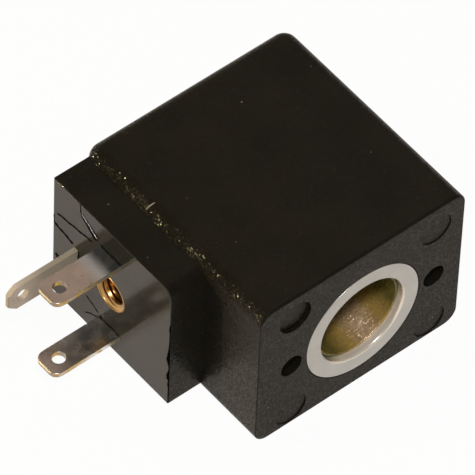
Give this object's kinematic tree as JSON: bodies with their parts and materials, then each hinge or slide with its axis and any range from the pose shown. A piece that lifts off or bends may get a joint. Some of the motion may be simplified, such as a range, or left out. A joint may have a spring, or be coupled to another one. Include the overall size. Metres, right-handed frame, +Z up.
{
  "type": "solenoid valve coil",
  "caption": "Moulded solenoid valve coil block with a lined through bore, flush steel pole rings and a side pad with flat contact tabs round a threaded insert.",
  "frame": {"origin": "on the bore axis, half way between the front and rear faces", "axes": "+Y along the bore towards the rear face, -X the way the contact tabs point, +Z up with the part lying on its broad side"},
  "size_m": [0.0327, 0.0232, 0.0168],
  "materials": {
    "moulding": "black moulded plastic with a fine spark-eroded grain",
    "ring_steel": "satin turned steel, zinc plated",
    "sleeve_metal": "yellow-passivated drawn tube, dull inside",
    "bobbin_plastic": "natural moulded nylon",
    "copper": "enamelled copper wire",
    "tape": "wrapped polyester tape",
    "yoke_steel": "pressed mild steel strip",
    "tab_metal": "tin-plated brass strip with bare cut edges",
    "rivet_brass": "plain brass",
    "insert_brass": "bright turned brass",
    "sleeving": "varnished woven sleeving",
    "solder": "soft solder"
  },
  "bodies": {
    "root": {"housing": "moulding", "front_pole_ring": "ring_steel", "rear_pole_ring": "ring_steel", "bore_sleeve": "sleeve_metal", "bobbin": "bobbin_plastic", "winding": "copper", "winding_tape": "tape", "yoke_bracket": "yoke_steel", "yoke_front_plate": "yoke_steel", "line_tab_upper": "tab_metal", "line_tab_lower": "tab_metal", "earth_tab": "tab_metal", "earth_rivet": "rivet_brass", "threaded_insert": "insert_brass", "start_lead": "copper", "finish_lead": "copper", "start_sleeving": "sleeving", "finish_sleeving": "sleeving", "start_solder": "solder", "finish_solder": "solder"}
  },
  "joints": []
}
